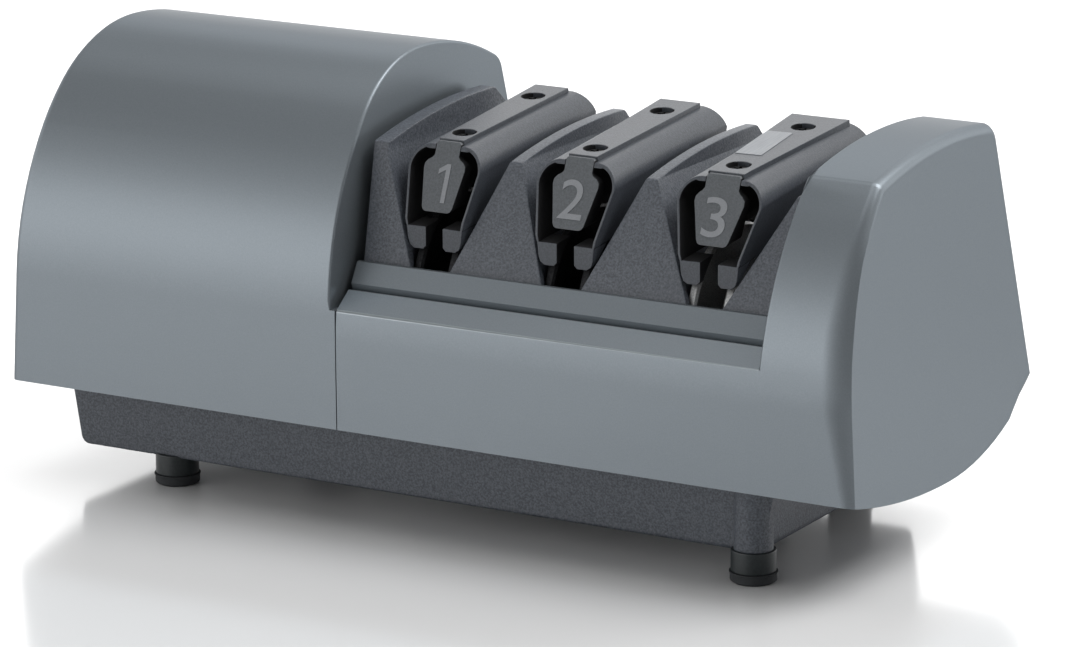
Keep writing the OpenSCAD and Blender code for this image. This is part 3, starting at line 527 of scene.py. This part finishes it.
# %% [markdown]
# ## Screws
#
# Six screws hold the guides, sunk in the holes of the plates, and four more hold the covers from below. They
# are pan heads with a cross recess: a turned head, from which a Boolean cuts a small cross.

# %% A cross-recess screw head
def cross_screw(head_r, head_h, shank_r, shank_l):
    screw = turned("screw", [(-shank_l, shank_r * 0.7), (-shank_l + 0.8, shank_r), (0, shank_r),
                             (0, head_r), (head_h * 0.55, head_r), (head_h, head_r * 0.72)], 32)
    soften(screw, 0.12, sharp=25, segments=2)
    bpy.ops.object.select_all(action="DESELECT")
    bpy.ops.mesh.primitive_cube_add(size=1)
    cutter = bpy.context.object
    cutter.data.transform(Matrix.Diagonal((head_r * 1.05 * mm, head_r * 0.26 * mm, head_h * mm, 1)))
    arm = cutter.data.copy()
    arm.transform(Matrix.Rotation(math.pi / 2, 4, "Z"))
    second = bpy.data.objects.new("arm", arm)
    bpy.context.scene.collection.objects.link(second)
    for tool in (cutter, second):
        tool.data.transform(Matrix.Translation((0, 0, head_h * mm)))
        cut = screw.modifiers.new("cross", "BOOLEAN")
        cut.object = tool
        cut.operation = "DIFFERENCE"
        cut.solver = "EXACT"
        only(screw)
        bpy.ops.object.modifier_apply(modifier="cross")
        bpy.data.objects.remove(tool)
    return screw


small = cross_screw(2.9, 0.7, 1.45, 7.9)
hole_y = (30.6 - guide_origin[0], 66.2 - guide_origin[0])
seat_depth = 1.6   # the heads sit this far under the plate's top
plate_screws = copies(small, "guide_screws_cross",
                      [on_guide(i, 0, y, -seat_depth) for i in range(3) for y in hole_y])
smooth(plate_screws, 35)
stands_for(plate_screws, "guide_screws")

large = cross_screw(3.4, 2.1, 1.5, 13.0)
under = Matrix.Rotation(math.pi, 4, "X")
cover_screws = copies(large, "cover_screws_cross",
                      [Matrix.Translation(at(x, y, 28.0)) @ under for x in (7, 245) for y in (20, 88)])
smooth(cover_screws, 35)
stands_for(cover_screws, "cover_screws")

# %% [markdown]
# ## Rear and underside
#
# The switch, the dressing lever and the clean-out cover are not in the photograph, but the machine is looked
# at from every side. They are rounded like the rest. The rocker's edges are finer than its frame's, because
# the two run close to each other.

# %% Switch, lever and clean-out cover
switch_frame = copy_of("switch_housing", "switch_bezel")
soften(switch_frame, 0.5, lambda p, n: p.y > 96, sharp=60)
smooth(switch_frame)
rocker = copy_of("switch_rocker", "switch_rocker_rounded")
soften(rocker, 0.4, sharp=50)
smooth(rocker)
lever = copy_of("dressing_lever", "dressing_lever_rounded")
soften(lever, 0.6, sharp=60)
smooth(lever)
hatch = copy_of("cleanout_cover", "cleanout_cover_rounded")
soften(hatch, 0.4, sharp=60, segments=2)
smooth(hatch)
grommet = copy_of("cord_grommet", "cord_grommet_rounded")
smooth(grommet, 40)

# %% [markdown]
# # Finishes
#
# Every colour below is written as the hex value you would pick from a photograph. Shaders work in linear
# light, so one function turns it. A second function adds a node with its settings and its links, which keeps
# each material readable as a list of what it is made of.

# %% Colours and nodes
def linear(code):
    values = [int(code[i:i + 2], 16) / 255 for i in (1, 3, 5)]
    return [v / 12.92 if v <= 0.04045 else ((v + 0.055) / 1.055) ** 2.4 for v in values] + [1.0]


def add(tree, kind, feed={}, **settings):
    made = tree.nodes.new(kind)
    for name, value in settings.items():
        setattr(made, name, value)
    for socket, value in feed.items():
        if isinstance(value, bpy.types.NodeSocket):
            tree.links.new(value, made.inputs[socket])
        else:
            made.inputs[socket].default_value = value
    return made


def finish(name, **sockets):
    """A material with its constants on the shader's own sockets, and Object coordinates to draw on."""
    made = bpy.data.materials.new(name)
    made.use_nodes = True
    shader = made.node_tree.nodes["Principled BSDF"]
    for socket, value in sockets.items():
        shader.inputs[socket.replace("_", " ")].default_value = value
    place = add(made.node_tree, "ShaderNodeTexCoord").outputs["Object"]
    return made, made.node_tree, shader, place


def per(size):
    """Scale of a pattern whose grains are this many millimetres apart."""
    return 1 / (size * mm)


def paint(material, *pieces):
    for piece in pieces:
        piece.data.materials.clear()
        piece.data.materials.append(material)
    print(material.name, "on", ", ".join(piece.name for piece in pieces))


# %% [markdown]
# ## Satin paint on the housing
#
# The housing is ABS, sprayed with a metallic grey and left satin. Aluminium flakes in the paint give it its
# shimmer: they are about 0.03 mm, too fine to show, so they are drawn 0.35 mm wide and very faint. Sprayed
# paint also has a slight orange peel, about 1.5 mm from crest to crest.

# %% Satin metallic paint
satin_paint, tree, shader, place = finish("satin_metallic_paint", Metallic=0.62, Roughness=0.35,
                                          Specular_Tint=(0.15, 0.15, 0.16, 1.0))
flakes = add(tree, "ShaderNodeTexNoise", {"Vector": place, "Scale": per(0.35), "Detail": 1.0})
tone = add(tree, "ShaderNodeMix", {0: flakes.outputs["Fac"], 6: linear("#7b8288"), 7: linear("#878e93")},
           data_type="RGBA")
tree.links.new(tone.outputs[2], shader.inputs["Base Color"])
peel = add(tree, "ShaderNodeTexNoise", {"Vector": place, "Scale": per(1.5), "Detail": 0.0})
skin_bump = add(tree, "ShaderNodeBump", {"Height": peel.outputs["Fac"], "Distance": 0.004 * mm,
                                         "Strength": 0.6})
tree.links.new(skin_bump.outputs["Normal"], shader.inputs["Normal"])
paint(satin_paint, motor_cover, sharpening_cover)

# %% [markdown]
# The top edge of the rail shows a thin light line. It is a painted highlight: the faces of that edge's bevel
# get a second paint, brighter and glossier than the satin grey.

# %% Painted highlight on the rail's edge
painted_highlight, tree, shader, place = finish("painted_highlight_edge", Metallic=0.7, Roughness=0.3)
streaks = add(tree, "ShaderNodeTexNoise", {"Vector": place, "Scale": per(6.0), "Detail": 2.0})
tone = add(tree, "ShaderNodeMix", {0: streaks.outputs["Fac"], 6: linear("#8f979c"), 7: linear("#a9b0b4")},
           data_type="RGBA")
tree.links.new(tone.outputs[2], shader.inputs["Base Color"])
sharpening_cover.data.materials.append(painted_highlight)
highlighted = 0
# the faces of the rail's rounded top edge take the painted highlight
for face in sharpening_cover.data.polygons:
    spot = in_mm(face.center)
    if motor_l < spot.x < cap_x and abs(spot.z - rail_z) < 0.6 and spot.y < 2 and 0.25 < face.normal.z < 0.8:
        face.material_index = 1
        highlighted += 1
print("rubbed faces:", highlighted)

# %% [markdown]
# ## Grained black plastic
#
# The block, the base and the guides are moulded in ABS against a spark-eroded tool, which leaves a grain of
# small pebbles, about half a millimetre apart. The crests are rubbed lighter than the valleys, so the same
# pattern drives both the colour and the bump.

# %% Grained ABS in three tones
def grained(name, valley, crest, grain, depth, rough):
    made, tree, shader, place = finish(name, Roughness=rough, IOR=1.5)
    pebbles = add(tree, "ShaderNodeTexNoise", {"Vector": place, "Scale": per(grain), "Detail": 2.0,
                                               "Roughness": 0.6})
    crests = add(tree, "ShaderNodeMapRange", {0: pebbles.outputs["Fac"], 1: 0.35, 2: 0.72})
    tone = add(tree, "ShaderNodeMix", {0: crests.outputs[0], 6: linear(valley), 7: linear(crest)},
               data_type="RGBA")
    tree.links.new(tone.outputs[2], shader.inputs["Base Color"])
    bump = add(tree, "ShaderNodeBump", {"Height": crests.outputs[0], "Distance": depth * mm,
                                        "Strength": 0.8})
    tree.links.new(bump.outputs["Normal"], shader.inputs["Normal"])
    return made


block_abs = grained("grained_black_abs", "#3c4047", "#5e636b", 0.55, 0.05, 0.47)
skin_abs = grained("sprung_guide_plastic", "#3c4046", "#4d5158", 0.5, 0.03, 0.42)
post_abs = grained("number_post_plastic", "#4b4f53", "#5b5f63", 0.5, 0.02, 0.5)
leg_abs = grained("smooth_black_leg_plastic", "#1b2123", "#242b2d", 0.8, 0.01, 0.4)
paint(block_abs, guide_block, base_tray, lever, hatch)
paint(leg_abs, legs)
paint(skin_abs, *guide_skins)
paint(post_abs, *posts)

# %% [markdown]
# The inside of the guides is deep black on the photograph: only the faces towards the user are grey. That
# black is painted shade. The faces that look away from the user, the faces underneath and the floor of the
# slot get a near-black matt material in place of the grey plastic, chosen by which way they look, so the
# number seems to float in a dark slot.

# %% Painted shade inside the guides
painted_shade = grained("painted_shade_black", "#08080b", "#101014", 0.6, 0.02, 0.8)
face_out = Vector((0, -1, face_slope)).normalized()


def paint_shade_on(material, piece, inside):
    piece.data.materials.append(material)
    for face in piece.data.polygons:
        spot = in_mm(face.center)
        # faces that look away from the user and lie in the guide's shade get the painted shade
        if face.normal.dot(face_out) < 0.75 and inside(spot, face.normal):
            face.material_index = 1


# painted shade on each guide's inner arm faces, its undersides and its slot floor, and on all of each post but
# its top and front
for i in range(3):
    middle = stages[i]
    paint_shade_on(painted_shade, guide_skins[i], lambda p, n: n.x * (p.x - middle) < -0.5 and abs(n.x) > 0.25
              or p.z < 99 and n.z < -0.5 or abs(p.x - middle) < 8 and n.z > 0.5 and p.z < 92)
    paint_shade_on(painted_shade, posts[i], lambda p, n: not (n.z > 0.5 and p.z > 99))
print("shade_painted_in", len(guide_skins), "guides and", len(posts), "posts")

# %% [markdown]
# ## Ink, foil, rubber and glossy plastic
#
# The numbers are pad-printed in a light grey ink. The plate is aluminium foil, brushed along its length. The
# foot pads are nitrile rubber, matt and a little dusty, and the switch is glossy polyamide.

# %% Ink, foil, rubber, switch
ink, tree, shader, place = finish("light_grey_ink", Roughness=0.6)
speck = add(tree, "ShaderNodeTexNoise", {"Vector": place, "Scale": per(0.4), "Detail": 1.0})
tone = add(tree, "ShaderNodeMix", {0: speck.outputs["Fac"], 6: linear("#7c7f83"), 7: linear("#8b8e92")},
           data_type="RGBA")
tree.links.new(tone.outputs[2], shader.inputs["Base Color"])
paint(ink, *numerals)

foil, tree, shader, place = finish("brushed_aluminium_foil", Metallic=0.8, Roughness=0.5)
along = add(tree, "ShaderNodeMapping", {"Vector": place, "Scale": (per(0.3), per(6.0), per(6.0))})
lines = add(tree, "ShaderNodeTexNoise", {"Vector": along.outputs[0], "Scale": 1.0, "Detail": 3.0})
tone = add(tree, "ShaderNodeMix", {0: lines.outputs["Fac"], 6: linear("#777a7e"), 7: linear("#a0a3a7")},
           data_type="RGBA")
tree.links.new(tone.outputs[2], shader.inputs["Base Color"])
paint(foil, label)

rubber, tree, shader, place = finish("nitrile_rubber", Roughness=0.75, IOR=1.52)
dust = add(tree, "ShaderNodeTexNoise", {"Vector": place, "Scale": per(1.2), "Detail": 4.0})
tone = add(tree, "ShaderNodeMix", {0: dust.outputs["Fac"], 6: linear("#1f2124"), 7: linear("#303336")},
           data_type="RGBA")
tree.links.new(tone.outputs[2], shader.inputs["Base Color"])
paint(rubber, pads, grommet)

switch_gloss, tree, shader, place = finish("glossy_polyamide", Roughness=0.22, IOR=1.53)
mould = add(tree, "ShaderNodeTexNoise", {"Vector": place, "Scale": per(4.0), "Detail": 2.0})
tone = add(tree, "ShaderNodeMix", {0: mould.outputs["Fac"], 6: linear("#17181a"), 7: linear("#1f2022")},
           data_type="RGBA")
tree.links.new(tone.outputs[2], shader.inputs["Base Color"])
paint(switch_gloss, switch_frame, rocker, nodes["cooling_fan"])

# %% [markdown]
# ## Metals and the motor
#
# The arbor and the brackets are bright turned or drawn steel, the screws are blackened, and the magnet that
# holds the steel dust is plated with nickel. Tool marks run across the arbor, 0.4 mm apart.

# %% Steels
def turned_steel(name, dark, bright, line, rough):
    made, tree, shader, place = finish(name, Metallic=1.0, Roughness=rough)
    across = add(tree, "ShaderNodeMapping", {"Vector": place, "Scale": (per(line), per(4.0), per(4.0))})
    lines = add(tree, "ShaderNodeTexNoise", {"Vector": across.outputs[0], "Scale": 1.0, "Detail": 3.0})
    tone = add(tree, "ShaderNodeMix", {0: lines.outputs["Fac"], 6: linear(dark), 7: linear(bright)},
               data_type="RGBA")
    tree.links.new(tone.outputs[2], shader.inputs["Base Color"])
    return made


bright_steel = turned_steel("turned_bright_steel", "#a3a5a8", "#c6c8ca", 0.4, 0.3)
dark_steel = turned_steel("blackened_steel", "#0e0f11", "#191a1d", 0.4, 0.55)
nickel = turned_steel("nickel_plate", "#8f9092", "#a9a9a8", 1.0, 0.25)
paint(bright_steel, *(nodes[n] for n in ("arbor_shaft", "drive_pins", "shaft_collars", "motor_bolts",
                                         "motor_bracket_left", "motor_bracket_right", "end_bracket",
                                         "lever_pin", "disk_spring_1", "disk_spring_2", "disk_spring_3")))
paint(dark_steel, plate_screws, cover_screws)
paint(nickel, nodes["dust_magnet"])

# %% [markdown]
# ## Grit on the disks
#
# The disks of the first two stages carry coarse dark diamond grit, and those of the last stage fine bright
# grit. Each crystal is one cell of a Voronoi pattern. Real grit is finer than 0.1 mm, too fine to show, so it
# is drawn three to five times as coarse.

# %% Gritted disks
def gritted(name, crystal, bond, grain, rough):
    made, tree, shader, place = finish(name, Metallic=0.85, Roughness=rough)
    grit = add(tree, "ShaderNodeTexVoronoi", {"Vector": place, "Scale": per(grain)})
    tone = add(tree, "ShaderNodeMix", {0: grit.outputs["Distance"], 6: linear(crystal),
                                       7: linear(bond)}, data_type="RGBA")
    tree.links.new(tone.outputs[2], shader.inputs["Base Color"])
    rough_face = add(tree, "ShaderNodeBump", {"Height": grit.outputs["Distance"],
                                              "Distance": grain * 0.07 * mm, "Strength": 0.6})
    tree.links.new(rough_face.outputs["Normal"], shader.inputs["Normal"])
    return made


coarse_grit = gritted("coarse_diamond_grit", "#3a3b3d", "#1b1b1d", 0.45, 0.5)
fine_grit = gritted("fine_grit_on_steel", "#d2d3d3", "#909192", 0.3, 0.38)
for side in ("left", "right"):
    paint(coarse_grit, nodes[f"disk_1_{side}"], nodes[f"disk_2_{side}"])
    paint(fine_grit, nodes[f"disk_3_{side}"])

# %% [markdown]
# ## Laminations, winding, bronze, bobbin and stone
#
# Laminations and coil are drawn as fine bands: sheets half a millimetre thick along the arbor, and wire of
# 0.4 mm wound up the limb. The oil-filled bearings, the bobbin and the stones are plain speckled surfaces.

# %% Bands and speckles
def banded(name, axis, step, valley, crest, metal, rough):
    made, tree, shader, place = finish(name, Metallic=metal, Roughness=rough)
    bands = add(tree, "ShaderNodeTexWave", {"Vector": place, "Scale": per(step) * math.pi / 10,
                                            "Distortion": 0.0}, bands_direction=axis)
    tone = add(tree, "ShaderNodeMix", {0: bands.outputs["Fac"], 6: linear(valley), 7: linear(crest)},
               data_type="RGBA")
    tree.links.new(tone.outputs[2], shader.inputs["Base Color"])
    bump = add(tree, "ShaderNodeBump", {"Height": bands.outputs["Fac"], "Distance": step * 0.15 * mm})
    tree.links.new(bump.outputs["Normal"], shader.inputs["Normal"])
    return made


stack = banded("varnished_laminations", "X", 0.5, "#3d3e41", "#5b5c60", 0.6, 0.4)
winding = banded("enamelled_copper_wire", "Z", 0.4, "#7a3c1b", "#b5683a", 0.7, 0.35)
paint(stack, nodes["stator_core"], nodes["rotor"])
paint(winding, nodes["field_coil"])


def speckled(name, dark, light, grain, metal, rough):
    made, tree, shader, place = finish(name, Metallic=metal, Roughness=rough)
    spots = add(tree, "ShaderNodeTexNoise", {"Vector": place, "Scale": per(grain), "Detail": 3.0})
    tone = add(tree, "ShaderNodeMix", {0: spots.outputs["Fac"], 6: linear(dark), 7: linear(light)},
               data_type="RGBA")
    tree.links.new(tone.outputs[2], shader.inputs["Base Color"])
    return made


paint(speckled("sintered_bronze", "#9a7440", "#c29a5c", 0.4, 0.9, 0.4),
      *(nodes[n] for n in ("bearing_left", "bearing_right", "bearing_end")))
paint(speckled("moulded_bobbin_nylon", "#cdc7b4", "#dad5c6", 2.0, 0.0, 0.5), nodes["coil_bobbin"])
paint(speckled("alumina_stone", "#cfcdc4", "#e4e2da", 0.3, 0.0, 0.9), nodes["dressing_stick"])

# %% [markdown]
# # Floor, light and camera
#
# The photograph was taken on white, with the machine mirrored faintly in the floor. A large white plane that
# is a little glossy gives both. The floor that the housing mirrors is darker than the floor that the camera
# sees: `near` darkens it before the machine and towards the right, `far` behind it, and both only for glossy
# rays.

# %% White, slightly polished floor
bpy.ops.object.select_all(action="DESELECT")
bpy.ops.mesh.primitive_plane_add(size=6.0, location=(0, 0, 0))
floor = bpy.context.object
floor.name = "studio_floor"
floor_white, tree, shader, place = finish("polished_white_floor", Metallic=0.15, Roughness=0.14, IOR=2.0)
cloud = add(tree, "ShaderNodeTexNoise", {"Vector": place, "Scale": 3.0, "Detail": 1.0})
tone = add(tree, "ShaderNodeMix", {0: cloud.outputs["Fac"], 6: linear("#f6f6f6"), 7: linear("#f9f9f9")},
           data_type="RGBA")
across = add(tree, "ShaderNodeVectorMath", {0: place, 1: (0.95, -0.3, 0)}, operation="DOT_PRODUCT")
dim = add(tree, "ShaderNodeMapRange", {0: across.outputs["Value"], 1: -0.08, 2: 0.12, 3: 0.0, 4: 0.7},
          interpolation_type="SMOOTHSTEP")
path = add(tree, "ShaderNodeLightPath")
spot = add(tree, "ShaderNodeSeparateXYZ", {0: place})
ahead = add(tree, "ShaderNodeMapRange", {0: spot.outputs["Y"], 1: -0.08, 2: 0.04, 3: 1.0, 4: 0.0},
            interpolation_type="SMOOTHSTEP")
far = add(tree, "ShaderNodeMapRange", {0: spot.outputs["Y"], 1: 0.1, 2: 0.4, 3: 0.35, 4: 0.95},
          interpolation_type="SMOOTHSTEP")
near = add(tree, "ShaderNodeMath", {0: dim.outputs[0], 1: ahead.outputs[0]}, operation="MULTIPLY")
both = add(tree, "ShaderNodeMath", {0: near.outputs[0], 1: far.outputs[0]}, operation="MAXIMUM")
mirrored = add(tree, "ShaderNodeMath", {0: both.outputs[0], 1: path.outputs["Is Glossy Ray"]},
               operation="MULTIPLY")
shade = add(tree, "ShaderNodeMix", {0: mirrored.outputs[0], 6: tone.outputs[2], 7: linear("#8c8e90")},
            data_type="RGBA")
tree.links.new(shade.outputs[2], shader.inputs["Base Color"])
paint(floor_white, floor)

# %% [markdown]
# ## A soft studio
#
# A satin housing is a mirror that blurs, so its highlights are a picture of the studio. On the photograph the
# arch is brightest where it mirrors the horizon at the front left, darkest where it mirrors the ceiling, and
# bright again at the top, where it mirrors the white backdrop. The world is painted the same way, by
# direction: bright at the horizon and behind, dim overhead and towards the front right.

# %% World and lamps
world = bpy.data.worlds.new("studio")
bpy.context.scene.world = world
world.use_nodes = True
tree = world.node_tree
tree.nodes.clear()
direction = add(tree, "ShaderNodeTexCoord").outputs["Generated"]
axes = add(tree, "ShaderNodeSeparateXYZ", {0: direction})
glow = add(tree, "ShaderNodeValToRGB", {0: axes.outputs["Z"]})
peak = 2.0  # the ramp's colours stop at 1, so it holds shares of this level
for stop, level in ((0.0, 1.8), (0.14, 1.66), (0.24, 1.4), (0.34, 1.12), (0.5, 0.7), (0.64, 0.36),
                    (0.8, 0.1), (1.0, 0.06)):
    mark = glow.color_ramp.elements.new(stop)
    mark.color = (level / peak, level / peak, level / peak, 1)
glow.color_ramp.elements.remove(glow.color_ramp.elements[0])
glow.color_ramp.elements.remove(glow.color_ramp.elements[-1])
behind = add(tree, "ShaderNodeMapRange", {0: axes.outputs["Y"], 1: 0.0, 2: 1.0, 3: 0.0, 4: 0.42})
front_right = add(tree, "ShaderNodeVectorMath", {0: direction, 1: (0.87, -0.5, 0.0)},
                  operation="DOT_PRODUCT")
sides = add(tree, "ShaderNodeMapRange", {0: front_right.outputs["Value"], 1: 0.05, 2: 0.95, 3: 1.0, 4: 0.12},
            interpolation_type="SMOOTHSTEP")
level = add(tree, "ShaderNodeMath", {0: glow.outputs["Color"], 1: peak, 2: behind.outputs[0]},
            operation="MULTIPLY_ADD")
even = add(tree, "ShaderNodeMath", {0: level.outputs[0], 1: sides.outputs[0]}, operation="MULTIPLY")
studio = add(tree, "ShaderNodeBackground", {"Color": (1, 1, 1, 1), "Strength": even.outputs[0]})
add(tree, "ShaderNodeOutputWorld", {0: studio.outputs[0]})


def softbox(name, azimuth, elevation, distance, size, power):
    """Area lamp that looks at the machine; azimuth 0 is in front, 90 at the right."""
    a, e = math.radians(azimuth), math.radians(elevation)
    way = Vector((math.sin(a) * math.cos(e), -math.cos(a) * math.cos(e), math.sin(e)))
    lamp = bpy.data.objects.new(name, bpy.data.lights.new(name, "AREA"))
    bpy.context.scene.collection.objects.link(lamp)
    lamp.data.shape = "RECTANGLE"
    lamp.data.size, lamp.data.size_y = size
    lamp.data.energy = power
    lamp.location = Vector((0, 0, 0.06)) + way * distance
    lamp.rotation_euler = way.to_track_quat("Z", "Y").to_euler()
    print(name, "gives", power, "W from", round(distance, 2), "m")


softbox("softbox_left", -34, 10, 1.6, (1.4, 0.6), 2)
softbox("softbox_back", -160, 35, 1.8, (1.4, 0.8), 3)
softbox("softbox_right", 118, 52, 1.6, (1.0, 0.9), 17)

# %% [markdown]
# ## The camera
#
# The camera looks at the machine from the front right and from about 14 degrees above, through a long lens.
# It was fitted to the edges of the machine in the photograph, and it has no shift, so that other views keep
# the machine in the middle.

# %% Camera
turn, pitch, roll = math.radians(30.209), math.radians(14.495), math.radians(-0.324)
bpy.ops.object.select_all(action="DESELECT")
bpy.ops.object.camera_add(location=(0.65405, -1.11066, 0.37941))
camera = bpy.context.object
camera.rotation_euler = (Matrix.Rotation(turn, 3, "Z") @ Matrix.Rotation(math.pi / 2 - pitch, 3, "X")
                         @ Matrix.Rotation(roll, 3, "Z")).to_euler()
camera.data.lens = 166.4
camera.data.sensor_width = 36
camera.data.clip_start = 0.01
bpy.context.scene.camera = camera
bpy.context.scene.view_settings.view_transform = "Standard"
print("camera at", [round(v, 3) for v in camera.location])
